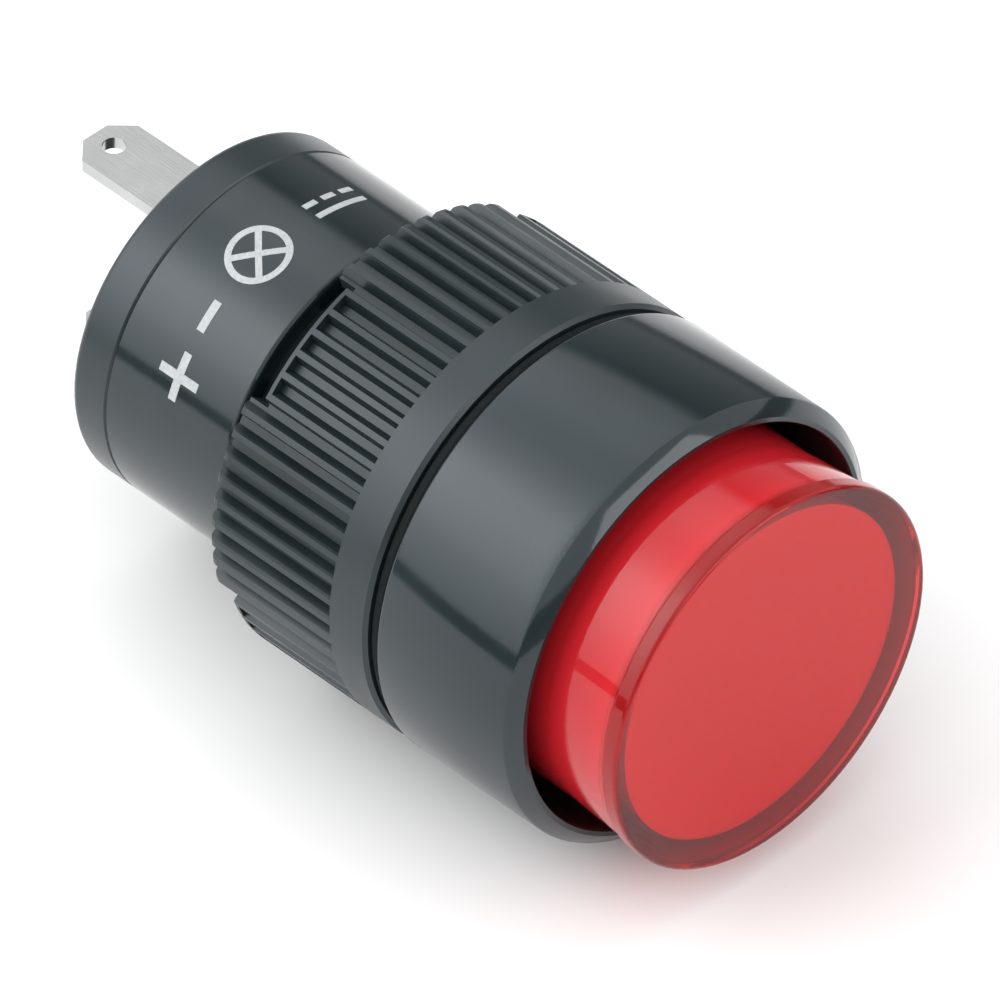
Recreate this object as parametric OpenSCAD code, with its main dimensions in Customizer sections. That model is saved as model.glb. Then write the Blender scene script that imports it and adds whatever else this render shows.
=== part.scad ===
// Panel pilot light for a 16 mm round cut-out, with a pull-off lens and a plug-in lamp.
// The optical axis lies along Y: the lens looks towards -Y and the terminals point to +Y.
// The origin is on that axis, in the plane where the bezel's back meets the panel. All sizes are in mm.

/* [Bezel and barrel] */
// Outside diameter of the threaded barrel
barrel_d = 15.8; // [15.4:0.1:18]
// Length of the barrel behind the panel plane
barrel_len = 7.8; // [7:0.1:12]
// Wall of the barrel
barrel_wall = 1.5; // [1.3:0.1:1.7]
// Chamfer at the end of the barrel
barrel_chamfer = 0.4; // [0.2:0.1:0.6]
// Radial overhang of the bezel around the barrel
bezel_overhang = 1.1; // [0.9:0.1:3]
// Length of the bezel in front of the panel plane
bezel_len = 6.9; // [6:0.1:9]
// Wall of the bezel around the lens well
bezel_wall = 0.8; // [0.6:0.05:0.9]
// Radial width of the slanted ring around the bezel's mouth
bezel_bevel_w = 0.55; // [0.3:0.05:0.6]
// Setback of the slanted ring along the axis
bezel_bevel_h = 0.45; // [0.2:0.05:0.8]
// Thickness of the bezel's floor in front of the panel plane
floor_t = 1.2; // [1:0.1:1.6]
// Thickness of the partition behind the panel plane
partition_t = 0.6; // [0.4:0.1:1]

/* [Lens] */
// Width of the open ring between the lens and the bezel
well_gap = 0.8; // [0.5:0.1:1.2]
// Wall of the lens cap
lens_wall = 0.65; // [0.5:0.05:0.8]
// How much wider the lens side is at its rim than at the bezel's mouth, on the radius
lens_flare = 0.22; // [0:0.02:0.4]
// Radial step from the lens side out to the rim around its face
lens_rim_step = 0.12; // [0.06:0.02:0.4]
// Thickness of the rim along the axis
lens_rim_t = 0.75; // [0.5:0.05:1.2]
// Thickness of the clear front plate
lens_plate_t = 1.15; // [0.5:0.05:1.3]
// Distance from the bezel's mouth to the lens face
lens_reach = 3.9; // [3:0.1:5]
// Rounding of the edge of the lens face
lens_edge_r = 0.18; // [0.1:0.02:0.3]
// Thickness of the legend plate behind the lens face
legend_t = 0.6; // [0.4:0.05:0.9]
// Thickness of the diffuser's front disc
diffuser_t = 0.9; // [0.6:0.1:1.1]
// Wall of the diffuser's skirt
diffuser_wall = 0.7; // [0.5:0.05:0.9]
// Length of the collar that carries the lens
collar_len = 3; // [2.6:0.1:3.4]
// Wall of the collar
collar_wall = 1.25; // [1.2:0.05:1.4]
// Thickness of the O-ring's section on the collar
seal_section = 0.84; // [0.7:0.02:0.9]

/* [Gasket and lock nut] */
// Thickness of the panel gasket
gasket_t = 0.6; // [0.5:0.1:1.5]
// How far the gasket's edge lies inside the bezel's
gasket_inset = 0.25; // [0:0.05:0.5]
// How far the tips of the nut's ribs lie inside the bezel's edge
nut_inset = 0.05; // [0:0.05:0.2]
// Height of the nut's ribs
rib_h = 0.42; // [0.25:0.01:0.5]
// Width of a rib at its foot
rib_foot_w = 0.58; // [0.45:0.01:0.62]
// Width of a rib near its tip
rib_tip_w = 0.36; // [0.24:0.01:0.4]
// Number of ribs around the nut
rib_count = 60; // [40:4:60]
// Length of the nut
nut_len = 8.05; // [6.5:0.05:8.5]
// Length of the smooth collar at the front of the nut
nut_collar_len = 1.8; // [1:0.1:2.5]
// Number of wrench notches in the nut's back edge
notch_count = 4; // [2:1:4]
// Number of ribs that one notch takes away
notch_ribs = 6; // [4:2:8]
// Depth of the wrench notches along the axis
notch_depth = 0.85; // [0.4:0.05:1]
// Length of the smooth lip in front of each notch
notch_lip = 0.16; // [0.1:0.02:0.6]
// Turn of the first notch about the axis
nut_turn = 34; // [0:1:89]

/* [Rear case] */
// Length of the rear case behind the neck
case_len = 6.2; // [6:0.1:9]
// Wall of the rear case
case_wall = 1; // [0.8:0.05:1.1]
// Length of the neck between the barrel and the rear case
neck_len = 1.9; // [1:0.1:2.4]
// Length of the spigot inside the barrel
spigot_len = 3.8; // [3:0.1:4.5]
// Wall of the spigot
spigot_wall = 0.8; // [0.6:0.05:1]
// Depth of the shoulder that seats the lamp socket, behind the case's front
socket_seat_depth = 0.7; // [0.6:0.1:1.2]
// Width of the shoulder that seats the lamp socket
socket_seat_w = 0.55; // [0.4:0.05:0.8]
// Thickness of the rear cap
cap_t = 1.8; // [1.2:0.1:2.5]
// Width of the cap's plug ring
plug_wall = 0.85; // [0.6:0.05:1]
// Height of the pads around the terminals
pad_h = 0.4; // [0.2:0.1:0.8]
// Margin of the pads around the terminals
pad_margin = 0.7; // [0.4:0.1:0.8]

/* [Terminals] */
// Width of a terminal blade
blade_w = 2.8; // [2.4:0.1:3]
// Thickness of a terminal blade
blade_t = 0.5; // [0.4:0.05:0.6]
// Length of a blade behind the cap
blade_len = 6.1; // [4:0.1:8]
// Distance from the middle of each blade outwards to the cap's plug ring
blade_inset = 1.1; // [1:0.05:1.4]
// Radius of the eye in a blade
eye_r = 0.45; // [0.4:0.05:0.8]
// Distance from a blade's end to the centre of its eye
eye_setback = 1; // [1:0.1:2.2]
// Width of the shoulders that stop a blade behind the cap
shoulder_w = 3.8; // [3.4:0.1:4]
// Width of the contact springs
leaf_w = 1.8; // [1.4:0.1:2]
// Thickness of the contact springs
leaf_t = 0.25; // [0.2:0.01:0.3]

/* [Lamp and socket] */
// Radius of the lamp's metal sleeve
sleeve_r = 2.85; // [2.8:0.01:2.9]
// Length of the lamp's metal sleeve
sleeve_len = 7.3; // [7:0.1:8]
// Wall of the lamp's metal sleeve
sleeve_wall = 0.25; // [0.2:0.01:0.3]
// Radius of the light-emitting diode's dome
dome_r = 2.5; // [2.3:0.05:2.6]
// Length of the light-emitting diode, flange included
dome_len = 8.7; // [8:0.1:9]
// Thickness of the diode's flange
dome_flange_t = 1; // [0.8:0.1:1.2]
// Length of the lamp's end insulator behind the sleeve
insulator_len = 0.5; // [0.3:0.05:0.8]
// Radius of the lamp's centre contact
tip_r = 1.1; // [0.9:0.05:1.4]
// Height of the lamp's centre contact
tip_h = 0.5; // [0.4:0.05:0.7]
// Wall of the lamp socket's tube
socket_wall = 0.75; // [0.6:0.05:0.8]
// Length of the lamp socket's tube in front of its flange
socket_tube_len = 5.4; // [4.8:0.1:5.8]
// Thickness of the lamp socket's flange
socket_flange_t = 1.2; // [1:0.1:1.5]
// Radius of the series resistor's body
resistor_r = 0.8; // [0.6:0.05:0.9]
// Length of the series resistor's body
resistor_len = 3; // [2.4:0.1:3.2]
// Thickness of the diode's square leads
lead_t = 0.45; // [0.3:0.05:0.5]
// Wall of the reflector
reflector_wall = 0.5; // [0.4:0.05:0.7]

/* [Clearances] */
// Radial gap between fixed round parts
fixed_gap = 0.05; // [0.02:0.01:0.08]
// Radial gap between parts that slide or turn on each other
run_gap = 0.08; // [0.05:0.01:0.1]
// Radial gap between the lamp's flange and the hole that it passes
pass_gap = 0.7; // [0.3:0.1:0.9]
// Gap between the faces of parts that are stacked
face_gap = 0.05; // [0.02:0.01:0.08]

/* [Hidden] */
$fn = 96;

// a cut reaches this far past the faces that it opens
over = 1;

// bezel and barrel
barrel_r = barrel_d / 2;
barrel_bore_r = barrel_r - barrel_wall;
bezel_r = barrel_r + bezel_overhang;
bezel_bore_r = bezel_r - bezel_wall;
bezel_edge_r = 0.15;

// lens stack, counted from the lens face backwards
lens_r = bezel_bore_r - well_gap;
lens_side_r = lens_r + lens_flare;
lens_rim_r = lens_side_r + lens_rim_step;
lens_bore_r = lens_r - lens_wall;
lens_front_y = -bezel_len - lens_reach;
lens_seat_gap = 0.1;
plate_back_y = lens_front_y + lens_plate_t;
legend_front_y = plate_back_y + face_gap;
legend_back_y = legend_front_y + legend_t;
diffuser_front_y = legend_back_y + face_gap;
insert_r = lens_bore_r - fixed_gap;
collar_r = lens_bore_r - run_gap;
collar_bore_r = collar_r - collar_wall;
collar_front_y = -floor_t - collar_len;
skirt_gap = 0.3;
diffuser_back_y = collar_front_y - skirt_gap;

// O-ring on the collar
seal_r = seal_section / 2;
seal_gap = 0.02;
seal_ring_r = lens_bore_r - 1.5 * seal_gap - seal_r;
seal_y = -floor_t - collar_len / 2;
seal_groove_r = seal_ring_r - seal_r - seal_gap;
seal_groove_w = seal_section + 0.2;

// gasket and nut
gasket_r = bezel_r - gasket_inset;
nut_bore_r = barrel_r + run_gap;
nut_front_y = gasket_t;
nut_back_y = nut_front_y + nut_len;
nut_r = bezel_r - nut_inset;
nut_root_r = nut_r - rib_h;
rib_pitch = 360 / rib_count;
rib_shoulder = 0.12;
rib_end_r = 0.35;
notch_angle = notch_ribs * rib_pitch;
notch_front_y = nut_back_y - notch_depth;
lip_front_y = notch_front_y - notch_lip;

// rear case, counted from the barrel's end backwards
case_front_y = barrel_len + neck_len;
case_back_y = case_front_y + case_len;
spigot_r = barrel_bore_r - fixed_gap;
spigot_bore_r = spigot_r - spigot_wall;
spigot_front_y = barrel_len - spigot_len;
case_bore_r = spigot_bore_r + socket_seat_w;
case_r = case_bore_r + case_wall;
case_edge_r = 0.25;
socket_seat_y = case_front_y + socket_seat_depth;
cap_back_y = case_back_y + cap_t;
cap_edge_r = 0.35;
joint_bevel = 0.08;

// lamp socket
socket_bore_r = sleeve_r + run_gap;
socket_tube_r = socket_bore_r + socket_wall;
socket_front_y = socket_seat_y - socket_tube_len;
socket_back_y = socket_seat_y + socket_flange_t;
socket_flange_r = case_bore_r - fixed_gap;
plug_front_y = socket_back_y + face_gap;
plug_r = case_bore_r - fixed_gap;
plug_bore_r = plug_r - plug_wall;

// terminals
blade_z = plug_bore_r - blade_inset;
blade_back_y = cap_back_y + blade_len;
blade_front_y = socket_back_y + face_gap;
blade_tail_w = blade_w - 0.4;
blade_point = 0.8;
eye_y = blade_back_y - eye_setback;
shoulder_y = case_back_y - face_gap;
shoulder_len = 0.9;

// contact springs
leaf_z = blade_z - blade_t / 2 - leaf_t / 2;
leaf_back_y = shoulder_y - 1.2;
leaf_bend_y = socket_back_y + 1.4;
leaf_bow_y = socket_back_y - 0.1;
leaf_bow = 0.65;
leaf_touch_y = socket_seat_y - 2.3;
leaf_touch = 0.4;
leaf_hook_len = 0.9;
leaf_hook_h = 0.3;
contact_gap = 0.06;

// lamp, counted from the centre contact forwards
lamp_back_y = leaf_bow_y - leaf_t / 2 - contact_gap;
tip_front_y = lamp_back_y - tip_h;
sleeve_back_y = tip_front_y - insulator_len;
sleeve_front_y = sleeve_back_y - sleeve_len;
dome_tip_y = sleeve_front_y - dome_len;
flange_r = sleeve_r + 0.05;
partition_hole_r = flange_r + pass_gap;
sleeve_bore_r = sleeve_r - sleeve_wall;
groove_y = sleeve_front_y + 1.5;
groove_w = 0.9;
groove_depth = 0.28;
insulator_plug_len = 1;
insulator_front_y = sleeve_back_y - insulator_plug_len;
rivet_r = 0.45;
wire_r = 0.22;
lead_x = 1.27;
resistor_mid_y = (sleeve_front_y + sleeve_back_y) / 2 + 0.3;
resistor_front_y = resistor_mid_y - resistor_len / 2;
resistor_back_y = resistor_mid_y + resistor_len / 2;

// turns a shape drawn up Z so that it runs along +Y, on the optical axis
module on_axis() {
    rotate([-90, 0, 0])
        children();
}

// solid of revolution about the optical axis from [radius, y] points
module turned(points) {
    on_axis()
        rotate_extrude()
            polygon(points);
}

// round bar or hole on the optical axis between two stations
module rod(r, y0, y1) {
    on_axis()
        translate([0, 0, y0])
            cylinder(r = r, h = y1 - y0);
}

function polar(r, a) = [r * cos(a), r * sin(a)];

// points of an arc about [cx, cy], from angle a0 to a1
function arc(cx, cy, r, a0, a1, steps = 6) = [
    for (i = [0 : steps]) [cx, cy] + polar(r, a0 + (a1 - a0) * i / steps)
];

// unit normal of the segment that starts at point i of a line
function side_of(line, i) =
    let (d = line[i + 1] - line[i])
    [-d[1], d[0]] / norm(d);

// offset direction at point i, stretched at a bend so that the strip keeps its thickness
function mitre(line, i) =
    i == 0 ? side_of(line, 0) :
    i == len(line) - 1 ? side_of(line, i - 1) :
    let (a = side_of(line, i - 1), b = side_of(line, i))
    (a + b) / (1 + a * b);

// outline of a strip of thickness t that follows a line of [y, z] points
function strip(line, t) = concat(
    [for (i = [0 : len(line) - 1]) line[i] + mitre(line, i) * t / 2],
    [for (i = [len(line) - 1 : -1 : 0]) line[i] - mitre(line, i) * t / 2]
);

// flat metal strip bent along a line of [y, z] points, w wide across X
module bent_strip(line, t, w) {
    rotate([90, 0, 90])
        linear_extrude(height = w, center = true)
            polygon(strip(line, t));
}

// bezel with its lens well and collar, the partition and the barrel, moulded in one piece
module bezel_housing() {
    color([0.10, 0.11, 0.12])
        turned(concat(
            [
                [bezel_bore_r, -bezel_len + bezel_edge_r / 2],
                [bezel_bore_r + bezel_edge_r / 2, -bezel_len],
                [bezel_r - bezel_bevel_w, -bezel_len],
                [bezel_r - bezel_edge_r / 3, -bezel_len + bezel_bevel_h - bezel_edge_r / 3],
                [bezel_r, -bezel_len + bezel_bevel_h + bezel_edge_r / 3]
            ],
            arc(bezel_r - bezel_edge_r, -bezel_edge_r, bezel_edge_r, 0, 90),
            [
                [barrel_r, 0],
                [barrel_r, barrel_len - barrel_chamfer],
                [barrel_r - barrel_chamfer, barrel_len],
                [barrel_bore_r, barrel_len],
                [barrel_bore_r, partition_t],
                [partition_hole_r, partition_t],
                [partition_hole_r, -floor_t],
                [collar_bore_r, -floor_t],
                [collar_bore_r, collar_front_y],
                [collar_r - bezel_edge_r, collar_front_y],
                [collar_r, collar_front_y + bezel_edge_r],
                [collar_r, seal_y - seal_groove_w / 2],
                [seal_groove_r, seal_y - seal_groove_w / 2],
                [seal_groove_r, seal_y + seal_groove_w / 2],
                [collar_r, seal_y + seal_groove_w / 2],
                [collar_r, -floor_t],
                [bezel_bore_r, -floor_t]
            ]
        ));
}

// clear red cap that flares a little towards the rim around its face
module lens_cap() {
    lens_back_y = -floor_t - lens_seat_gap;
    lens_chamfer = 0.1;
    rim_back_y = lens_front_y + lens_rim_t;
    color([0.85, 0.12, 0.14, 0.6])
        turned(concat(
            [[0, lens_front_y]],
            arc(lens_rim_r - lens_edge_r, lens_front_y + lens_edge_r, lens_edge_r, -90, 0),
            [
                [lens_rim_r, rim_back_y - lens_rim_step],
                [lens_side_r, rim_back_y],
                [lens_r, -bezel_len],
                [lens_r, lens_back_y - lens_chamfer],
                [lens_r - lens_chamfer, lens_back_y],
                [lens_bore_r, lens_back_y],
                [lens_bore_r, plate_back_y],
                [0, plate_back_y]
            ]
        ));
}

// plain opaque disc that shows through the lens face
module legend_plate() {
    color([0.84, 0.24, 0.26])
        rod(insert_r, legend_front_y, legend_back_y);
}

// milky cup that spreads the lamp's light over the lens
module diffuser() {
    inner_r = insert_r - diffuser_wall;
    disc_back_y = diffuser_front_y + diffuser_t;
    corner = 0.3;
    color([0.90, 0.45, 0.42])
        turned([
            [0, diffuser_front_y],
            [insert_r, diffuser_front_y],
            [insert_r, diffuser_back_y],
            [inner_r, diffuser_back_y],
            [inner_r, disc_back_y + corner],
            [inner_r - corner, disc_back_y],
            [0, disc_back_y]
        ]);
}

// white cone in the collar, seated on the partition
module reflector() {
    mouth_r = collar_bore_r - fixed_gap;
    mouth_len = 0.8;
    seat_y = -floor_t - face_gap;
    throat_r = partition_hole_r;
    color([0.92, 0.92, 0.90])
        turned([
            [mouth_r - reflector_wall, collar_front_y],
            [mouth_r, collar_front_y],
            [mouth_r, collar_front_y + mouth_len],
            [throat_r + reflector_wall, seat_y],
            [throat_r, seat_y]
        ]);
}

// O-ring in the collar's groove, which seals and grips the lens
module lens_seal() {
    color([0.06, 0.06, 0.06])
        on_axis()
            translate([0, 0, seal_y])
                rotate_extrude()
                    translate([seal_ring_r, 0])
                        circle(r = seal_r);
}

// flat rubber ring between the bezel and the panel
module panel_gasket() {
    edge_r = gasket_t * 0.4;
    color([0.07, 0.07, 0.07])
        turned(concat(
            [[nut_bore_r, 0]],
            arc(gasket_r - edge_r, edge_r, edge_r, -90, 0),
            arc(gasket_r - edge_r, gasket_t - edge_r, edge_r, 0, 90),
            [[nut_bore_r, gasket_t]]
        ));
}

// outline of one groove between two ribs, about angle a, with flared edges that round the ribs' tips
function groove_outline(a) =
    let (
        foot = (rib_pitch - rib_foot_w / nut_root_r * 180 / PI) / 2,
        flank = (rib_pitch - rib_tip_w / nut_r * 180 / PI) / 2,
        flare = (rib_pitch + flank * 2) / 4
    )
    [
        polar(nut_root_r, a - foot),
        polar(nut_r - rib_shoulder, a - flank),
        polar(nut_r + rib_shoulder / 2, a - flare),
        polar(nut_r + over, a - flare),
        polar(nut_r + over, a + flare),
        polar(nut_r + rib_shoulder / 2, a + flare),
        polar(nut_r - rib_shoulder, a + flank),
        polar(nut_root_r, a + foot)
    ];

// one groove between two ribs, from the collar back to station y1
module groove(a, y1) {
    on_axis()
        translate([0, 0, nut_front_y + nut_collar_len])
            linear_extrude(height = y1 - nut_front_y - nut_collar_len)
                polygon(groove_outline(a));
}

// true for a groove that ends at the lip of a notch
function in_notch(a) =
    let (d = a % (360 / notch_count))
    min(d, 360 / notch_count - d) < notch_angle / 2 - rib_pitch / 4;

// part of a ring about the optical axis, centred on angle a
module sector(r0, r1, y0, y1, a, width) {
    on_axis()
        rotate([0, 0, a - width / 2])
            rotate_extrude(angle = width)
                translate([r0, y0])
                    square([r1 - r0, y1 - y0]);
}

// ribbed ring nut with a smooth front collar and four wrench notches
module lock_nut() {
    color([0.12, 0.13, 0.14])
        rotate([0, -nut_turn, 0])
            difference() {
                turned(concat(
                    [
                        [nut_bore_r, nut_front_y],
                        [nut_r - bezel_edge_r, nut_front_y],
                        [nut_r, nut_front_y + bezel_edge_r]
                    ],
                    arc(nut_r - rib_end_r, nut_back_y - rib_end_r, rib_end_r, 0, 90, 3),
                    [[nut_bore_r, nut_back_y]]
                ));
                for (i = [0 : rib_count - 1])
                    groove(i * rib_pitch, in_notch(i * rib_pitch) ? lip_front_y : nut_back_y + over);
                for (i = [0 : notch_count - 1])
                    sector(nut_bore_r - over, nut_r + over, notch_front_y, nut_back_y + over,
                        i * 360 / notch_count, notch_angle);
            }
}

// smooth rear housing with a neck that plugs into the barrel
module rear_case() {
    color([0.10, 0.11, 0.12])
        turned(concat(
            [
                [spigot_bore_r, spigot_front_y],
                [spigot_r - case_edge_r, spigot_front_y],
                [spigot_r, spigot_front_y + case_edge_r],
                [spigot_r, case_front_y]
            ],
            arc(case_r - case_edge_r, case_front_y + case_edge_r, case_edge_r, -90, 0),
            [
                [case_r, case_back_y - joint_bevel],
                [case_r - joint_bevel, case_back_y],
                [case_bore_r, case_back_y],
                [case_bore_r, socket_seat_y],
                [spigot_bore_r, socket_seat_y]
            ]
        ));
}

// end cap with a plug ring, raised pads and the two blade slots
module rear_cap() {
    pad_w = blade_w + 2 * pad_margin;
    pad_d = blade_t + 2 * pad_margin;
    color([0.11, 0.12, 0.13])
        difference() {
            union() {
                turned(concat(
                    [
                        [0, case_back_y],
                        [case_r - joint_bevel, case_back_y],
                        [case_r, case_back_y + joint_bevel]
                    ],
                    arc(case_r - cap_edge_r, cap_back_y - cap_edge_r, cap_edge_r, 0, 90),
                    [[0, cap_back_y]]
                ));
                turned([
                    [plug_bore_r, plug_front_y],
                    [plug_r, plug_front_y],
                    [plug_r, case_back_y + joint_bevel],
                    [plug_bore_r, case_back_y + joint_bevel]
                ]);
                for (side = [-1, 1])
                    translate([-pad_w / 2, cap_back_y - over / 2, side * blade_z - pad_d / 2])
                        cube([pad_w, over / 2 + pad_h, pad_d]);
            }
            for (side = [-1, 1])
                translate([
                    -blade_w / 2 - fixed_gap,
                    case_back_y - over,
                    side * blade_z - blade_t / 2 - fixed_gap
                ])
                    cube([
                        blade_w + 2 * fixed_gap,
                        cap_t + pad_h + 2 * over,
                        blade_t + 2 * fixed_gap
                    ]);
        }
}

// moulded lamp holder: a tube for the lamp's sleeve and a flange that seats in the case
module lamp_socket() {
    mouth_bevel = 0.3;
    window_w = leaf_w + 0.4;
    window_front_y = leaf_touch_y - leaf_touch - leaf_hook_len - 0.6;
    window_top_z = sleeve_r - 0.7;
    color([0.88, 0.86, 0.80])
        difference() {
            turned([
                [socket_bore_r + mouth_bevel, socket_front_y],
                [socket_tube_r, socket_front_y],
                [socket_tube_r, socket_seat_y],
                [socket_flange_r, socket_seat_y],
                [socket_flange_r, socket_back_y],
                [socket_bore_r, socket_back_y],
                [socket_bore_r, socket_front_y + mouth_bevel]
            ]);
            translate([-window_w / 2, window_front_y, -socket_tube_r - over])
                cube([
                    window_w,
                    socket_seat_y - window_front_y,
                    socket_tube_r + over - window_top_z
                ]);
            translate([-window_w / 2, socket_seat_y - over, -leaf_z - leaf_t])
                cube([window_w, socket_flange_t + 2 * over, 2 * leaf_t]);
        }
}

// outline of a terminal in its own plane: tail, shoulders, and a blade with a tapered end
module terminal_outline() {
    shoulder_front_y = shoulder_y - shoulder_len;
    polygon([
        [-blade_tail_w / 2, blade_front_y],
        [blade_tail_w / 2, blade_front_y],
        [blade_tail_w / 2, shoulder_front_y],
        [shoulder_w / 2, shoulder_front_y],
        [shoulder_w / 2, shoulder_y],
        [blade_w / 2, shoulder_y],
        [blade_w / 2, blade_back_y - blade_point],
        [blade_w / 2 - blade_point, blade_back_y],
        [-blade_w / 2 + blade_point, blade_back_y],
        [-blade_w / 2, blade_back_y - blade_point],
        [-blade_w / 2, shoulder_y],
        [-shoulder_w / 2, shoulder_y],
        [-shoulder_w / 2, shoulder_front_y],
        [-blade_tail_w / 2, shoulder_front_y]
    ]);
}

// stamped terminal with its eye, side +1 above the axis and -1 below it
module terminal(side) {
    color([0.80, 0.80, 0.78])
        difference() {
            translate([0, 0, side * blade_z - blade_t / 2])
                linear_extrude(height = blade_t)
                    terminal_outline();
            translate([0, eye_y, side * blade_z - blade_t])
                cylinder(r = eye_r, h = 2 * blade_t, $fn = 48);
        }
}

module terminal_upper() {
    terminal(1);
}

module terminal_lower() {
    terminal(-1);
}

// leaf from the upper blade down behind the socket, bowed against the lamp's centre contact
module centre_contact() {
    color([0.82, 0.62, 0.32])
        bent_strip([
            [leaf_back_y, leaf_z],
            [leaf_bend_y, leaf_z],
            [leaf_bow_y + leaf_hook_h, leaf_bow + leaf_hook_len],
            [leaf_bow_y, leaf_bow],
            [leaf_bow_y, -leaf_bow],
            [leaf_bow_y + leaf_hook_h, -leaf_bow - leaf_hook_len]
        ], leaf_t, leaf_w);
}

// leaf from the lower blade through the flange, bowed against the lamp's sleeve
module side_contact() {
    touch_z = sleeve_r + contact_gap + leaf_t / 2;
    color([0.82, 0.62, 0.32])
        bent_strip([
            [leaf_back_y, -leaf_z],
            [sleeve_back_y + leaf_t, -leaf_z],
            [leaf_touch_y + leaf_touch, -touch_z],
            [leaf_touch_y - leaf_touch, -touch_z],
            [leaf_touch_y - leaf_touch - leaf_hook_len, -touch_z - leaf_hook_h]
        ], leaf_t, leaf_w);
}

// epoxy body of the light-emitting diode, with its flange on the sleeve's rim
module lamp_dome() {
    dome_base_y = sleeve_front_y - dome_flange_t;
    color([0.90, 0.20, 0.18])
        turned(concat(
            arc(0, dome_tip_y + dome_r, dome_r, -90, 0, 16),
            [
                [dome_r, dome_base_y],
                [flange_r, dome_base_y],
                [flange_r, sleeve_front_y],
                [0, sleeve_front_y]
            ]
        ));
}

// plated brass sleeve with the rolled groove of a midget lamp base
module lamp_sleeve() {
    outer = concat(
        [[sleeve_r, sleeve_front_y], [sleeve_r, groove_y - groove_w / 2]],
        [[sleeve_r - groove_depth, groove_y - groove_w / 5]],
        [[sleeve_r - groove_depth, groove_y + groove_w / 5]],
        [[sleeve_r, groove_y + groove_w / 2], [sleeve_r, sleeve_back_y]]
    );
    inner = [for (i = [len(outer) - 1 : -1 : 0]) outer[i] - [sleeve_wall, 0]];
    color([0.78, 0.77, 0.74])
        turned(concat(outer, inner));
}

// dark insulating plug in the end of the sleeve
module lamp_insulator() {
    plug_r = sleeve_bore_r - seal_gap;
    rivet_hole_r = rivet_r + seal_gap;
    color([0.16, 0.14, 0.13])
        turned([
            [rivet_hole_r, insulator_front_y],
            [plug_r, insulator_front_y],
            [plug_r, sleeve_back_y],
            [tip_r + 0.4, tip_front_y],
            [rivet_hole_r, tip_front_y]
        ]);
}

// riveted centre contact of the lamp
module lamp_tip() {
    color([0.80, 0.78, 0.72])
        turned(concat(
            [
                [0, insulator_front_y],
                [rivet_r, insulator_front_y],
                [rivet_r, tip_front_y],
                [tip_r, tip_front_y]
            ],
            arc(tip_r - tip_h * 0.8, lamp_back_y - tip_h * 0.8, tip_h * 0.8, 0, 90),
            [[0, lamp_back_y]]
        ));
}

// square lead bent along a line of [y, x] points
module lead(line) {
    rotate([0, 90, 0])
        bent_strip(line, lead_t, lead_t);
}

// series resistor on the axis inside the sleeve, with its lead to the centre contact
module lamp_resistor() {
    bulge = resistor_r * 0.12;
    end_r = resistor_r * 0.8;
    end_len = 0.7;
    color([0.72, 0.62, 0.46])
        turned([
            [0, resistor_front_y],
            [end_r, resistor_front_y],
            [resistor_r, resistor_front_y + bulge],
            [resistor_r, resistor_front_y + end_len - bulge],
            [resistor_r - bulge, resistor_front_y + end_len],
            [resistor_r - bulge, resistor_back_y - end_len],
            [resistor_r, resistor_back_y - end_len + bulge],
            [resistor_r, resistor_back_y - bulge],
            [end_r, resistor_back_y],
            [wire_r, resistor_back_y],
            [wire_r, insulator_front_y],
            [0, insulator_front_y]
        ]);
}

// lead from the diode to the front of the resistor
module anode_lead() {
    bend_y = (sleeve_front_y + resistor_front_y) / 2;
    step = 0.2;
    color([0.78, 0.78, 0.78])
        lead([
            [sleeve_front_y, lead_x],
            [bend_y - step, lead_x],
            [bend_y + step, 0],
            [resistor_front_y, 0]
        ]);
}

// lead from the diode along the sleeve's wall, to be soldered to the sleeve
module cathode_lead() {
    wall_r = sleeve_bore_r - seal_gap;
    wall_x = sqrt(pow(wall_r, 2) - pow(lead_t / 2, 2)) - lead_t / 2;
    color([0.78, 0.78, 0.78])
        lead([
            [sleeve_front_y, -lead_x],
            [groove_y + groove_w, -lead_x],
            [groove_y + 2 * groove_w, -wall_x],
            [insulator_front_y - 0.3, -wall_x]
        ]);
}

bezel_housing();
lens_cap();
legend_plate();
diffuser();
reflector();
lens_seal();
panel_gasket();
lock_nut();
rear_case();
rear_cap();
lamp_socket();
terminal_upper();
terminal_lower();
centre_contact();
side_contact();
lamp_dome();
lamp_sleeve();
lamp_insulator();
lamp_tip();
lamp_resistor();
anode_lead();
cathode_lead();
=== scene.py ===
"""Looks of a small panel pilot light: its plastics, metals and clear lens, the thread on its barrel,
the white marks on its case, and the studio it is seen in. Everything is in metres."""

import math

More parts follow.
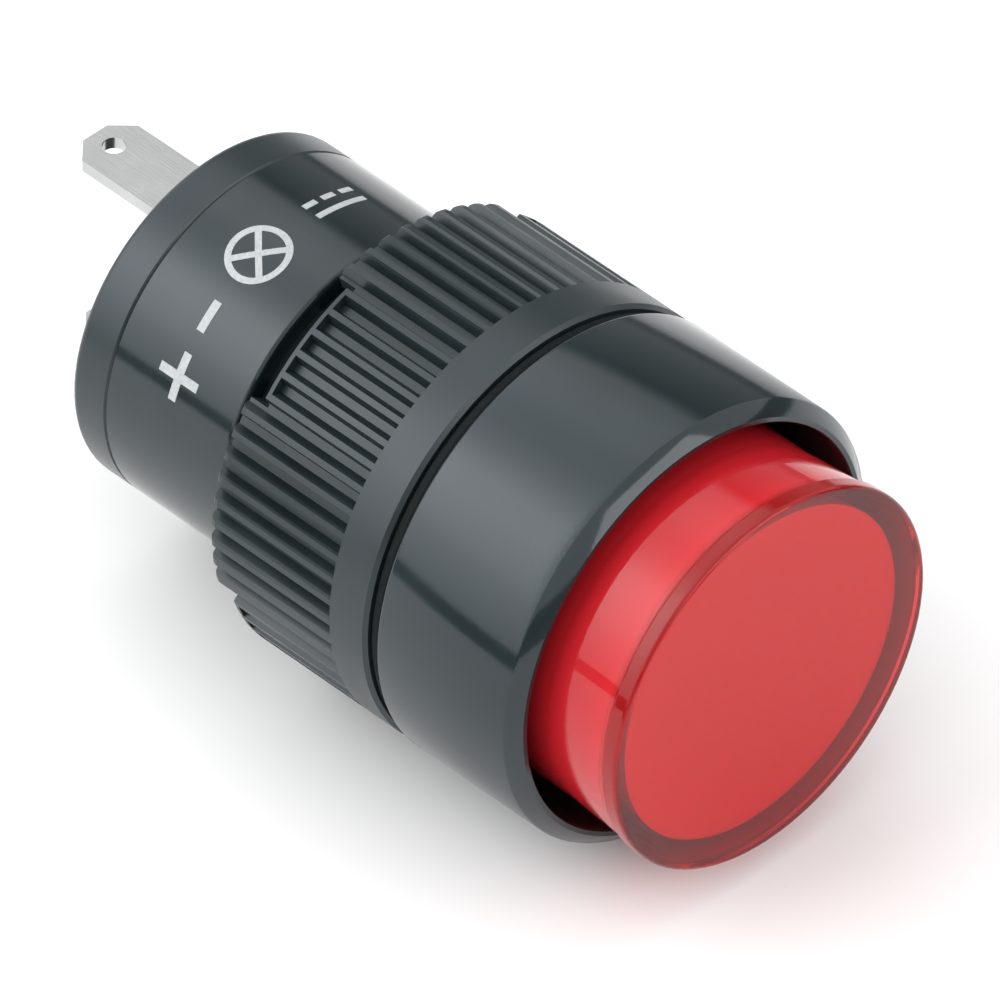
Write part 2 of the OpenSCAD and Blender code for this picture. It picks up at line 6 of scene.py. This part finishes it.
import bmesh
import bpy
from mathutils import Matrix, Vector

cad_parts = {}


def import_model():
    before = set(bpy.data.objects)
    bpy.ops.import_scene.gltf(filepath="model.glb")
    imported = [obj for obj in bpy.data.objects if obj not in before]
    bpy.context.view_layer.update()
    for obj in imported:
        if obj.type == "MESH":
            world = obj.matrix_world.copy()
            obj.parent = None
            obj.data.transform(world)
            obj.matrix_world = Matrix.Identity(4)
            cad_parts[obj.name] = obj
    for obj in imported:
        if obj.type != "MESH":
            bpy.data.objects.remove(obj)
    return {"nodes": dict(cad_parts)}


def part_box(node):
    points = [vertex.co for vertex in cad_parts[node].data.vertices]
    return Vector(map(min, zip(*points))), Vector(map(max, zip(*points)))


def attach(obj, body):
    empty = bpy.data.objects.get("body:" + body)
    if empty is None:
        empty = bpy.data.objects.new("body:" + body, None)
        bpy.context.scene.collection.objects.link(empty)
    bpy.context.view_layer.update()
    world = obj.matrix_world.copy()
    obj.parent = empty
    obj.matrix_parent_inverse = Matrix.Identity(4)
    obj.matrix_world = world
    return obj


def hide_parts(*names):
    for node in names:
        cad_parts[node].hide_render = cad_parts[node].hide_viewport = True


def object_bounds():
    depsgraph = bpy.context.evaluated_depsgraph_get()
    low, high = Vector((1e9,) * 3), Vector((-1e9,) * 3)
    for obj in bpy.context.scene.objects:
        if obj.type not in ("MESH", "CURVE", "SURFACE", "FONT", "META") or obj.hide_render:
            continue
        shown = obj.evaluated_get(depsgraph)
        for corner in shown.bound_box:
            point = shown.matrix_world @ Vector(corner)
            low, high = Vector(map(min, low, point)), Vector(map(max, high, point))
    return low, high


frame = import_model()
cad_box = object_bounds()
nodes = frame["nodes"]

MM = 0.001

# Sizes of the part's source that the frame doesn't give
BARREL_RADIUS = 7.9 * MM
BARREL_CHAMFER = 0.4 * MM
NUT_BORE_RADIUS = 7.98 * MM
LENS_RIM_DEPTH = 0.9 * MM

# ---------------------------------------------------------------- node helpers


def link_noise(tree, scale, detail=2.0, stretch=(1.0, 1.0, 1.0)):
    """Noise in the object's own space, with that many features per metre. Returns its factor."""
    coords = tree.nodes.new("ShaderNodeTexCoord")
    mapping = tree.nodes.new("ShaderNodeMapping")
    mapping.inputs["Scale"].default_value = stretch
    noise = tree.nodes.new("ShaderNodeTexNoise")
    noise.inputs["Scale"].default_value = scale
    noise.inputs["Detail"].default_value = detail
    tree.links.new(coords.outputs["Object"], mapping.inputs["Vector"])
    tree.links.new(mapping.outputs["Vector"], noise.inputs["Vector"])
    return noise.outputs["Fac"]


def link_range(tree, source, low, high, start=0.3, end=0.7):
    """Maps source from start..end to low..high."""
    ranged = tree.nodes.new("ShaderNodeMapRange")
    ranged.inputs["From Min"].default_value = start
    ranged.inputs["From Max"].default_value = end
    ranged.inputs["To Min"].default_value = low
    ranged.inputs["To Max"].default_value = high
    tree.links.new(source, ranged.inputs["Value"])
    return ranged.outputs["Result"]


def link_along_y(tree, start, end):
    """0 up to start and 1 from end on, along the object's Y, in metres."""
    coords = tree.nodes.new("ShaderNodeTexCoord")
    split = tree.nodes.new("ShaderNodeSeparateXYZ")
    tree.links.new(coords.outputs["Object"], split.inputs["Vector"])
    return link_range(tree, split.outputs["Y"], 0.0, 1.0, start, end)


def link_mix(tree, factor, first, second):
    """Mixes two colours by factor."""
    mix = tree.nodes.new("ShaderNodeMix")
    mix.data_type = "RGBA"
    mix.inputs["A"].default_value = (*first, 1.0)
    mix.inputs["B"].default_value = (*second, 1.0)
    tree.links.new(factor, mix.inputs["Factor"])
    return mix.outputs["Result"]


def link_bump(tree, shader, height, depth):
    """Feeds height, 0 to 1, to the shader's normal as a bump that is depth metres deep."""
    bump = tree.nodes.new("ShaderNodeBump")
    bump.inputs["Strength"].default_value = 1.0
    bump.inputs["Distance"].default_value = depth
    tree.links.new(height, bump.inputs["Height"])
    tree.links.new(bump.outputs["Normal"], shader.inputs["Normal"])


def link_absorption(tree, colour, density):
    """Tints the light that passes through the object."""
    absorption = tree.nodes.new("ShaderNodeVolumeAbsorption")
    absorption.inputs["Color"].default_value = (*colour, 1.0)
    absorption.inputs["Density"].default_value = density
    tree.links.new(absorption.outputs["Volume"], tree.nodes["Material Output"].inputs["Volume"])


def fill_ramp(ramp, stops):
    """Gives a colour ramp its stops, which are places and colours in rising order."""
    elements = ramp.color_ramp.elements
    elements.remove(elements[1])
    elements[0].position = stops[0][0]
    elements[0].color = stops[0][1]
    for place, colour in stops[1:]:
        elements.new(place).color = colour


def material(name, **sockets):
    """New material with one Principled shader. Sockets are named with _ for a space."""
    made = bpy.data.materials.new(name)
    made.use_nodes = True
    shader = made.node_tree.nodes["Principled BSDF"]
    for key, value in sockets.items():
        shader.inputs[key.replace("_", " ")].default_value = value
    return made, made.node_tree, shader


# ------------------------------------------------------------------- materials

# Painted cool tint on every reflection of the black plastic, in place of a cool colour in the studio
# light.
PAINTED_COOL_REFLECTION = (0.95, 1.0, 1.05, 1.0)
COOL_BLACK = (0.009, 0.016, 0.018)


def black_plastic(name, gloss, tone):
    """Moulded black plastic: a faint cool tint in its black, a painted cool tint on its reflections,
    uneven gloss and the fine grain of the mould.
    """
    made, tree, shader = material(name, IOR=1.52, Specular_Tint=PAINTED_COOL_REFLECTION)
    patches = link_noise(tree, 260, 3.0)
    grain = link_noise(tree, 9000, 2.0)
    shade = link_mix(
        tree,
        link_range(tree, patches, 0.0, 1.0),
        [c * 0.85 for c in tone],
        [c * 1.15 for c in tone],
    )
    tree.links.new(shade, shader.inputs["Base Color"])
    roughness = link_range(tree, patches, gloss * 0.85, gloss * 1.2)
    tree.links.new(roughness, shader.inputs["Roughness"])
    link_bump(tree, shader, grain, 0.0012 * MM)
    return made


def rubber():
    """Very dark satin rubber with a fine speckle."""
    made, tree, shader = material("black_rubber", IOR=1.5, Specular_IOR_Level=0.12)
    speckle = link_noise(tree, 4000, 4.0)
    shade = link_mix(tree, link_range(tree, speckle, 0, 1), (0.002, 0.004, 0.005), (0.007, 0.01, 0.011))
    tree.links.new(shade, shader.inputs["Base Color"])
    tree.links.new(link_range(tree, speckle, 0.55, 0.7), shader.inputs["Roughness"])
    link_bump(tree, shader, speckle, 0.006 * MM)
    return made


def clear_lens(rim_back_y):
    """Red plastic, clear and tinted in the polished face and rim, and milky along the side wall."""
    made, tree, shader = material("clear_red", IOR=1.41)
    wall = link_along_y(tree, rim_back_y - 0.15 * MM, rim_back_y + 0.25 * MM)
    haze = link_noise(tree, 500, 3.0)
    tree.links.new(link_range(tree, haze, 0.02, 0.06), shader.inputs["Roughness"])
    tint = link_mix(tree, wall, (1.0, 0.05, 0.06), (0.6, 0.018, 0.026))
    tree.links.new(tint, shader.inputs["Base Color"])
    tree.links.new(link_range(tree, wall, 0.94, 0.3, 0.0, 1.0), shader.inputs["Transmission Weight"])
    link_absorption(tree, (0.86, 0.16, 0.17), 400.0)
    return made


def red_disc_painted_glow():
    """Opaque red sheet with a faint grain and slightly uneven pigment, and a painted glow: emission
    that brightens it as if lit, though the sheet is no lamp.
    """
    made, tree, shader = material(
        "red_disc_painted_glow",
        IOR=1.5,
        Specular_IOR_Level=0.3,
        # Painted glow: the sheet gives light of its own to look lit, though it is no lamp.
        Emission_Color=(1.0, 0.015, 0.035, 1.0),
        Emission_Strength=0.66,
    )
    cloud = link_noise(tree, 220, 3.0)
    grain = link_noise(tree, 5200, 3.0)
    shade = link_mix(tree, link_range(tree, cloud, 0, 1), (0.86, 0.016, 0.037), (0.93, 0.022, 0.045))
    tree.links.new(shade, shader.inputs["Base Color"])
    tree.links.new(link_range(tree, grain, 0.3, 0.42), shader.inputs["Roughness"])
    link_bump(tree, shader, grain, 0.004 * MM)
    return made


def red_diffuser():
    """Milky red plastic that light sinks into."""
    made, tree, shader = material(
        "red_diffuser", IOR=1.5, Subsurface_Weight=0.6, Subsurface_Scale=0.5 * MM, Roughness=0.5
    )
    shader.inputs["Subsurface Radius"].default_value = (1.0, 0.25, 0.25)
    cloud = link_noise(tree, 300, 3.0)
    shade = link_mix(tree, link_range(tree, cloud, 0, 1), (0.84, 0.02, 0.03), (0.92, 0.03, 0.04))
    tree.links.new(shade, shader.inputs["Base Color"])
    link_bump(tree, shader, link_noise(tree, 6000, 2.0), 0.004 * MM)
    return made


def pale_plastic(name, tone, rough):
    """Pale moulded plastic, slightly cloudy."""
    made, tree, shader = material(name, IOR=1.5, Subsurface_Weight=0.15, Subsurface_Scale=0.3 * MM)
    cloud = link_noise(tree, 400, 3.0)
    shade = link_mix(tree, link_range(tree, cloud, 0, 1), [c * 0.94 for c in tone], tone)
    tree.links.new(shade, shader.inputs["Base Color"])
    tree.links.new(link_range(tree, cloud, rough * 0.85, rough * 1.15), shader.inputs["Roughness"])
    link_bump(tree, shader, link_noise(tree, 5000, 2.0), 0.003 * MM)
    return made


def metal(name, tone, rough):
    """Plated or rolled metal with fine drawn lines along Y and cloudy gloss."""
    made, tree, shader = material(name, Metallic=1.0)
    lines = link_noise(tree, 14000, 2.0, stretch=(1.0, 0.05, 1.0))
    cloud = link_noise(tree, 900, 3.0)
    shade = link_mix(tree, link_range(tree, cloud, 0, 1), [c * 0.9 for c in tone], tone)
    tree.links.new(shade, shader.inputs["Base Color"])
    tree.links.new(link_range(tree, cloud, rough * 0.75, rough * 1.3), shader.inputs["Roughness"])
    link_bump(tree, shader, lines, 0.0015 * MM)
    return made


def red_epoxy():
    """Clear red resin of the lamp's dome."""
    made, tree, shader = material(
        "red_epoxy", Base_Color=(1.0, 0.9, 0.9, 1.0), IOR=1.53, Transmission_Weight=1.0
    )
    tree.links.new(link_range(tree, link_noise(tree, 800), 0.03, 0.08), shader.inputs["Roughness"])
    link_absorption(tree, (0.9, 0.1, 0.08), 700.0)
    return made


def banded_resistor(low_y, high_y):
    """Lacquered resistor body with its colour bands around Y."""
    made, tree, shader = material("resistor", IOR=1.5, Roughness=0.35)
    body = (0.56, 0.42, 0.24, 1.0)
    band_width = 0.07
    bands = [
        (0.1, (0.25, 0.09, 0.03, 1.0)),
        (0.28, (0.02, 0.02, 0.02, 1.0)),
        (0.46, (0.6, 0.05, 0.04, 1.0)),
        (0.68, (0.55, 0.38, 0.08, 1.0)),
    ]
    stops = [(0.0, body)]
    for place, colour in bands:
        stops += [(place, colour), (place + band_width, body)]
    ramp = tree.nodes.new("ShaderNodeValToRGB")
    ramp.color_ramp.interpolation = "CONSTANT"
    fill_ramp(ramp, stops)
    tree.links.new(link_along_y(tree, low_y, high_y), ramp.inputs["Fac"])
    tree.links.new(ramp.outputs["Color"], shader.inputs["Base Color"])
    link_bump(tree, shader, link_noise(tree, 3000), 0.01 * MM)
    return made


def white_ink():
    """Matt white printing ink, dulled by the black under it."""
    made, tree, shader = material("white_ink", IOR=1.45)
    speckle = link_noise(tree, 7000, 3.0)
    shade = link_mix(tree, link_range(tree, speckle, 0, 1), (0.34, 0.36, 0.37), (0.44, 0.46, 0.47))
    tree.links.new(shade, shader.inputs["Base Color"])
    tree.links.new(link_range(tree, speckle, 0.45, 0.6), shader.inputs["Roughness"])
    return made


housing_black = black_plastic("housing_black", 0.1, COOL_BLACK)
tin = metal("tin_plate", (0.56, 0.57, 0.57), 0.22)
bronze = metal("spring_bronze", (0.78, 0.52, 0.25), 0.25)
nickel = metal("nickel_plate", (0.74, 0.71, 0.66), 0.18)
resistor_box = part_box("lamp_resistor")

FINISHES = {
    "bezel_housing": housing_black,
    "rear_case": housing_black,
    "rear_cap": black_plastic("cap_black", 0.3, COOL_BLACK),
    "lock_nut": black_plastic("nut_black", 0.36, COOL_BLACK),
    "panel_gasket": rubber(),
    "lens_cap": clear_lens(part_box("lens_cap")[0].y + LENS_RIM_DEPTH),
    "legend_plate": red_disc_painted_glow(),
    "diffuser": red_diffuser(),
    "reflector": pale_plastic("white_plastic", (0.85, 0.85, 0.83), 0.3),
    "lamp_socket": pale_plastic("ivory_plastic", (0.78, 0.74, 0.64), 0.45),
    "terminal_upper": tin,
    "terminal_lower": tin,
    "centre_contact": bronze,
    "side_contact": bronze,
    "lamp_dome": red_epoxy(),
    "lamp_sleeve": nickel,
    "lamp_tip": nickel,
    "lamp_insulator": black_plastic("insulator", 0.25, (0.03, 0.024, 0.02)),
    "lamp_resistor": banded_resistor(resistor_box[0].y, resistor_box[1].y),
    "anode_lead": tin,
    "cathode_lead": tin,
}
FINISHES["lens_seal"] = FINISHES["panel_gasket"]

for node_name, finish in FINISHES.items():
    nodes[node_name].material_slots[0].material = finish


# ------------------------------------------------------------------ mesh tools


def add_object(name, data):
    """New object in the scene that holds a mesh or a camera."""
    made = bpy.data.objects.new(name, data)
    bpy.context.scene.collection.objects.link(made)
    return made


def mesh_object(name, points, faces, finish):
    """New object from points and faces, with its finish."""
    mesh = bpy.data.meshes.new(name)
    mesh.from_pydata(points, [], faces)
    mesh.materials.append(finish)
    return add_object(name, mesh)


def new_piece(name, points, faces, finish, body, smooth=True):
    """Closed piece of the visual model, riding on a body."""
    made = mesh_object(name, points, faces, finish)
    mesh = made.data
    work = bmesh.new()
    work.from_mesh(mesh)
    bmesh.ops.recalc_face_normals(work, faces=work.faces)
    work.to_mesh(mesh)
    work.free()
    if smooth:
        mesh.shade_smooth()
    else:
        mesh.shade_flat()
    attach(made, body)
    return made


def around(radius, angle, y):
    """Point at that distance from the optical axis, its angle running from +Z towards +X."""
    return (radius * math.sin(angle), y, radius * math.cos(angle))


# --------------------------------------------------------------------- thread

# The barrel's thread. It starts behind a plain relief and reaches its depth over the lead-in
PITCH = 1.0 * MM
THREAD_DEPTH = 0.5 * MM
RELIEF = 0.5 * MM
LEAD_IN = 0.3 * PITCH
ROWS_PER_PITCH = 16

# The nut's ridge, by half its width at the foot and at the crest. The steps are those of one turn
RIDGE_HEIGHT = 0.53 * MM
RIDGE_FOOT = 0.38 * PITCH
RIDGE_CREST = 0.08 * PITCH
RIDGE_INSET = 0.9 * MM
RIDGE_STEPS = 96
RIDGE_TAPER = RIDGE_STEPS / 8

# How near counts as one point and as lying on the barrel, and how deep the ridge is sunk into the nut
WELD = 0.002 * MM
TOUCH = 0.01 * MM
SUNK = 0.02 * MM


def cut_depth(angle, y):
    """Depth of the barrel's right-hand thread there: flat at crest and root, with rounded flanks."""
    turn = y / PITCH - angle / (2 * math.pi)
    share = min(max(0.5 - 0.62 * math.cos(2 * math.pi * turn), 0.0), 1.0)
    lead_in = min(max((y - RELIEF) / LEAD_IN, 0.0), 1.0)
    return THREAD_DEPTH * share * lead_in


def ring_edges(work, ring):
    """The edges that join the points of one ring."""
    members = set(ring)
    return [e for e in work.edges if e.verts[0] in members and e.verts[1] in members]


def by_angle(verts):
    """The points in their order round the optical axis."""
    return sorted(verts, key=lambda v: math.atan2(v.co.x, v.co.z))


def threaded_housing():
    """The housing with its thread cut. The barrel's side becomes a fine grid between its end rings."""
    mesh = nodes["bezel_housing"].data.copy()
    mesh.name = "threaded_housing"
    work = bmesh.new()
    work.from_mesh(mesh)
    bmesh.ops.remove_doubles(work, verts=work.verts, dist=WELD)
    back = max(v.co.y for v in work.verts)

    def skin(y):
        """Radius of the plain barrel there, chamfered at the back."""
        return min(BARREL_RADIUS, BARREL_RADIUS - BARREL_CHAMFER + back - y)

    def on_barrel(vert):
        distance = math.hypot(vert.co.x, vert.co.z)
        return vert.co.y > -TOUCH and abs(distance - skin(vert.co.y)) < TOUCH

    side = [f for f in work.faces if all(on_barrel(v) for v in f.verts)]
    bmesh.ops.delete(work, geom=side, context="FACES_ONLY")
    loose = [v for v in work.verts if not v.link_faces]
    bmesh.ops.delete(work, geom=loose, context="VERTS")
    edge = {v for e in work.edges if len(e.link_faces) == 1 for v in e.verts}
    front_ring = by_angle(v for v in edge if v.co.y < back / 2)
    back_ring = by_angle(v for v in edge if v.co.y > back / 2)
    angles = [math.atan2(v.co.x, v.co.z) for v in front_ring]
    rows = round(back / PITCH * ROWS_PER_PITCH)
    grid = [front_ring]
    for row in range(1, rows):
        y = back * row / rows
        radii = [min(skin(y), BARREL_RADIUS - cut_depth(a, y)) for a in angles]
        grid.append([work.verts.new(around(r, a, y)) for r, a in zip(radii, angles)])
    for near, far in zip(grid, grid[1:]):
        for i in range(len(angles)):
            j = (i + 1) % len(angles)
            work.faces.new((near[i], near[j], far[j], far[i]))
    bmesh.ops.bridge_loops(work, edges=ring_edges(work, grid[-1]) + ring_edges(work, back_ring))
    bmesh.ops.recalc_face_normals(work, faces=work.faces)
    work.to_mesh(mesh)
    work.free()
    mesh.materials.clear()
    mesh.materials.append(housing_black)
    mesh.shade_smooth()
    mesh.set_sharp_from_angle(angle=math.radians(22))
    made = add_object("threaded_housing", mesh)
    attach(made, "housing")
    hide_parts("bezel_housing")


def nut_thread(first_y, last_y):
    """Ridge in the nut's bore that runs in the barrel's groove, tapered off at both ends."""
    count = round((last_y - first_y) / PITCH * RIDGE_STEPS)
    foot = NUT_BORE_RADIUS + SUNK
    points, faces = [], []
    for i in range(count + 1):
        y = first_y + PITCH * i / RIDGE_STEPS
        turn = 2 * math.pi * (y / PITCH - 0.5)
        share = min(1.0, i / RIDGE_TAPER, (count - i) / RIDGE_TAPER)
        crest = NUT_BORE_RADIUS - RIDGE_HEIGHT * share - TOUCH
        points += [
            around(foot, turn, y - RIDGE_FOOT),
            around(crest, turn, y - RIDGE_CREST),
            around(crest, turn, y + RIDGE_CREST),
            around(foot, turn, y + RIDGE_FOOT),
        ]
    for i in range(count):
        for k in range(4):
            a, b = 4 * i + k, 4 * i + (k + 1) % 4
            faces.append((a, b, b + 4, a + 4))
    end = 4 * count
    faces += [(0, 1, 2, 3), (end + 3, end + 2, end + 1, end)]
    made = new_piece("nut_thread", points, faces, FINISHES["lock_nut"], "nut")
    made.data.set_sharp_from_angle(angle=math.radians(32))


threaded_housing()
nut_thread(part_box("panel_gasket")[1].y + RIDGE_INSET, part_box("bezel_housing")[1].y - RIDGE_INSET)


# ----------------------------------------------------------------- case marks

# The ink stands proud of the case by its film and is sunk in as far
INK_FILM = 0.012 * MM
STROKE = 0.26 * MM
BOLD_STROKE = STROKE * 1.4
MARKS_FROM_END = 3.05 * MM

# Lamp symbol: circle and cross
LAMP_RADIUS = 1.15 * MM
LAMP_ARM = 0.81 * MM

# Polarity: plus and minus, one after the other round the case
PLUS_ARM = 0.95 * MM
PLUS_PLACE = -0.9 * MM
MINUS_START = 0.95 * MM
MINUS_END = 2.2 * MM

# Direct current: a line over three dashes
SUPPLY_HALF_GAP = 0.35 * MM
SUPPLY_REACH = 1.2 * MM
DASHES = [(-1.2 * MM, -0.6 * MM), (-0.3 * MM, 0.3 * MM), (0.6 * MM, 1.2 * MM)]

ink_finish = white_ink()
case_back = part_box("rear_case")[1]
case_radius = case_back.x
marks_y = case_back.y - MARKS_FROM_END


def circle_path(radius, steps=40):
    """Points of a circle in the flat plan of the case's side. Its last point is its first."""
    turns = [2 * math.pi * i / steps for i in range(steps + 1)]
    return [(radius * math.cos(turn), radius * math.sin(turn)) for turn in turns]


def line_path(first, last, steps=8):
    """Points of a straight stroke, close enough to follow the round case."""
    return [tuple(a + (b - a) * i / steps for a, b in zip(first, last)) for i in range(steps + 1)]


def ink_stroke(path, width, turn, first):
    """Points and faces of one raised stroke, whose points are numbered from first."""
    closed = math.dist(path[0], path[-1]) < width * 0.01
    if closed:
        path = path[:-1]
    count = len(path)
    points, faces = [], []
    for i, (px, py) in enumerate(path):
        before = path[i - 1] if closed else path[max(i - 1, 0)]
        after = path[(i + 1) % count] if closed else path[min(i + 1, count - 1)]
        dx, dy = after[0] - before[0], after[1] - before[1]
        length = math.hypot(dx, dy)
        side = (-dy / length * width / 2, dx / length * width / 2)
        for radius in (case_radius - INK_FILM, case_radius + INK_FILM):
            for sign in (1, -1):
                u, w = px + sign * side[0], py + sign * side[1]
                points.append(around(radius, turn + w / case_radius, marks_y - u))
    for i in range(count if closed else count - 1):
        a, b = first + 4 * i, first + 4 * ((i + 1) % count)
        faces += [
            (a, b, b + 1, a + 1),
            (a + 2, a + 3, b + 3, b + 2),
            (a, a + 2, b + 2, b),
            (a + 1, b + 1, b + 3, a + 3),
        ]
    if not closed:
        last = first + 4 * (count - 1)
        faces += [(first, first + 1, first + 3, first + 2), (last, last + 2, last + 3, last + 1)]
    return points, faces


def ink(name, strokes, width, degrees):
    """Raised ink on the round case. The plan's x runs forward along the case and its y around it."""
    points, faces = [], []
    for path in strokes:
        more_points, more_faces = ink_stroke(path, width, math.radians(degrees), len(points))
        points += more_points
        faces += more_faces
    new_piece(name, points, faces, ink_finish, "housing", smooth=False)


circle_and_cross = [
    circle_path(LAMP_RADIUS),
    line_path((-LAMP_ARM, -LAMP_ARM), (LAMP_ARM, LAMP_ARM)),
    line_path((-LAMP_ARM, LAMP_ARM), (LAMP_ARM, -LAMP_ARM)),
]
plus_and_minus = [
    line_path((-PLUS_ARM, PLUS_PLACE), (PLUS_ARM, PLUS_PLACE)),
    line_path((0, PLUS_PLACE - PLUS_ARM), (0, PLUS_PLACE + PLUS_ARM)),
    line_path((0, MINUS_START), (0, MINUS_END)),
]
line_over_dashes = [line_path((SUPPLY_HALF_GAP, -SUPPLY_REACH), (SUPPLY_HALF_GAP, SUPPLY_REACH))]
for start, end in DASHES:
    line_over_dashes.append(line_path((-SUPPLY_HALF_GAP, start), (-SUPPLY_HALF_GAP, end)))

ink("mark_lamp", circle_and_cross, STROKE, -19)
ink("mark_polarity", plus_and_minus, BOLD_STROKE, -55)
ink("mark_supply", line_over_dashes, STROKE, 12)

# --------------------------------------------------------------------- studio

# Brightness of the light tent at angles about the optical axis, in degrees from overhead towards +X
TENT = [
    (-91.0, 1.45),
    (-86.0, 1.75),
    (-70.0, 2.5),
    (-61.0, 3.25),
    (-45.0, 3.9),
    (-34.0, 3.8),
    (-20.0, 2.3),
    (-10.0, 1.75),
    (0.0, 1.65),
    (12.0, 1.85),
    (26.0, 1.65),
    (38.0, 1.2),
    (41.0, 0.7),
    (45.0, 0.22),
    (54.0, 0.36),
    (70.0, 0.46),
    (79.0, 0.46),
    (85.0, 0.2),
    (89.0, 0.35),
]
TENT_START = TENT[0][0]
TENT_SPAN = TENT[-1][0] - TENT_START
TENT_RADIUS = 0.6
TENT_NEAR = 0.05
TENT_FAR = 0.9

# The two dark flags lie on the floor up to these edges and meet at one y
FLOOR_REACH = 0.8
FLAG_GLOW = 0.25
FLAG_REACH = 0.79
FLAG_LIFT = 0.3 * MM
FLAG_SIDE_EDGE = -0.085
FLAG_FRONT_EDGE = 0.05
FLAG_MEETING = -0.1


def stage_mesh(name, points, faces, finish):
    """Piece of the studio, which isn't part of the object."""
    made = mesh_object(name, points, faces, finish)
    return made


def glow(name, radiance):
    """Surface that only gives light. Returns the material, its tree and its emission node."""
    made = bpy.data.materials.new(name)
    made.use_nodes = True
    tree = made.node_tree
    tree.nodes.clear()
    shine = tree.nodes.new("ShaderNodeEmission")
    shine.inputs["Strength"].default_value = radiance
    output = tree.nodes.new("ShaderNodeOutputMaterial")
    tree.links.new(shine.outputs["Emission"], output.inputs["Surface"])
    return made, tree, shine


def tent_light():
    """Light that changes softly with the angle about the optical axis, as TENT says."""
    peak = max(level for angle, level in TENT)
    made, tree, shine = glow("tent_light", peak)
    coords = tree.nodes.new("ShaderNodeTexCoord")
    split = tree.nodes.new("ShaderNodeSeparateXYZ")
    angle = tree.nodes.new("ShaderNodeMath")
    angle.operation = "ARCTAN2"
    tree.links.new(coords.outputs["Object"], split.inputs["Vector"])
    tree.links.new(split.outputs["X"], angle.inputs[0])
    tree.links.new(split.outputs["Z"], angle.inputs[1])
    ramp = tree.nodes.new("ShaderNodeValToRGB")
    greys = [((degrees - TENT_START) / TENT_SPAN, level / peak) for degrees, level in TENT]
    fill_ramp(ramp, [(place, (grey, grey, grey, 1.0)) for place, grey in greys])
    first, last = math.radians(TENT_START), math.radians(TENT_START + TENT_SPAN)
    tree.links.new(link_range(tree, angle.outputs["Value"], 0.0, 1.0, first, last), ramp.inputs["Fac"])
    tree.links.new(ramp.outputs["Color"], shine.inputs["Color"])
    return made


def tent(steps=60):
    """Half-round light tent about the optical axis, behind the panel and hidden from the camera."""
    points = []
    for i in range(steps + 1):
        angle = math.radians(TENT_START + TENT_SPAN * i / steps)
        points += [around(TENT_RADIUS, angle, TENT_NEAR), around(TENT_RADIUS, angle, TENT_FAR)]
    faces = [(2 * i, 2 * i + 1, 2 * i + 3, 2 * i + 2) for i in range(steps)]
    made = stage_mesh("tent", points, faces, tent_light())
    made.visible_camera = False


def flat_quad(name, left, right, front, rear, level, finish):
    """Level piece of the studio between those edges in x and y."""
    corners = [(left, front, level), (right, front, level), (right, rear, level), (left, rear, level)]
    return stage_mesh(name, corners, [(0, 1, 2, 3)], finish)


def floor(level):
    """Pale plain floor that the bezel and the nut lie on."""
    made, tree, shader = material("floor", Roughness=0.7)
    shade = link_mix(tree, link_noise(tree, 8, 2.0), (0.86, 0.86, 0.86), (0.88, 0.88, 0.88))
    tree.links.new(shade, shader.inputs["Base Color"])
    flat_quad("floor", -FLOOR_REACH, FLOOR_REACH, -FLOOR_REACH, FLOOR_REACH, level, made)


def only_reflected(made):
    """Hides a stage piece from everything except reflections."""
    made.visible_camera = False
    made.visible_diffuse = False
    made.visible_shadow = False
    made.visible_transmission = False


def flags(level):
    """Dark strips on the floor, beside and before the object. They draw the dark line on its barrel."""
    dark = glow("flag_dark", FLAG_GLOW)[0]
    beside = (-FLAG_REACH, FLAG_SIDE_EDGE, FLAG_MEETING, FLAG_REACH)
    before = (-FLAG_REACH, FLAG_FRONT_EDGE, -FLAG_REACH, FLAG_MEETING)
    only_reflected(flat_quad("flag_side", *beside, level, dark))
    only_reflected(flat_quad("flag_front", *before, level, dark))


def world(radiance):
    """Even white light from all around."""
    made = bpy.data.worlds.new("studio")
    made.use_nodes = True
    background = made.node_tree.nodes["Background"]
    background.inputs["Color"].default_value = (1.0, 1.0, 1.0, 1.0)
    background.inputs["Strength"].default_value = radiance
    bpy.context.scene.world = made


def upright_card(name, first, last, bottom, top, radiance, steps=24):
    """Curved upright card in front of the lens, between two bearings in degrees from -Y towards +X."""
    points = []
    for i in range(steps + 1):
        bearing = math.radians(first + (last - first) * i / steps)
        across, ahead = TENT_RADIUS * math.sin(bearing), -TENT_RADIUS * math.cos(bearing)
        points += [(across, ahead, bottom), (across, ahead, top)]
    faces = [(2 * i, 2 * i + 1, 2 * i + 3, 2 * i + 2) for i in range(steps)]
    made = stage_mesh(name, points, faces, glow(name, radiance)[0])
    made.visible_camera = False
    return made


floor(cad_box[0].z)
flags(cad_box[0].z + FLAG_LIFT)
tent()
upright_card("front_light", first=-12.0, last=42.0, bottom=0.17, top=0.5, radiance=3.6)
only_reflected(
    upright_card("front_dark", first=-75.0, last=100.0, bottom=cad_box[0].z, top=0.12, radiance=0.2)
)
world(radiance=1.1)

# --------------------------------------------------------------------- camera

AZIMUTH = math.radians(-44.4)
ELEVATION = math.radians(41.4)
DISTANCE = 0.7124
LENS = 720.0
SENSOR = 36.0
OFFSET_RIGHT = 2.025 * MM
OFFSET_DOWN = 1.2475 * MM

right = Vector((math.cos(AZIMUTH), math.sin(AZIMUTH), 0))
back = Vector(
    (
        math.sin(AZIMUTH) * math.cos(ELEVATION),
        -math.cos(AZIMUTH) * math.cos(ELEVATION),
        math.sin(ELEVATION),
    )
)
up = back.cross(right)
camera_data = bpy.data.cameras.new("camera")
camera_data.lens = LENS
camera_data.sensor_width = SENSOR
camera_data.clip_start = 0.05
camera_data.clip_end = 5.0
camera = add_object("camera", camera_data)
camera.location = back * DISTANCE - right * OFFSET_RIGHT + up * OFFSET_DOWN
camera.rotation_euler = back.to_track_quat("Z", "Y").to_euler()
bpy.context.scene.camera = camera
bpy.context.scene.view_settings.view_transform = "Standard"
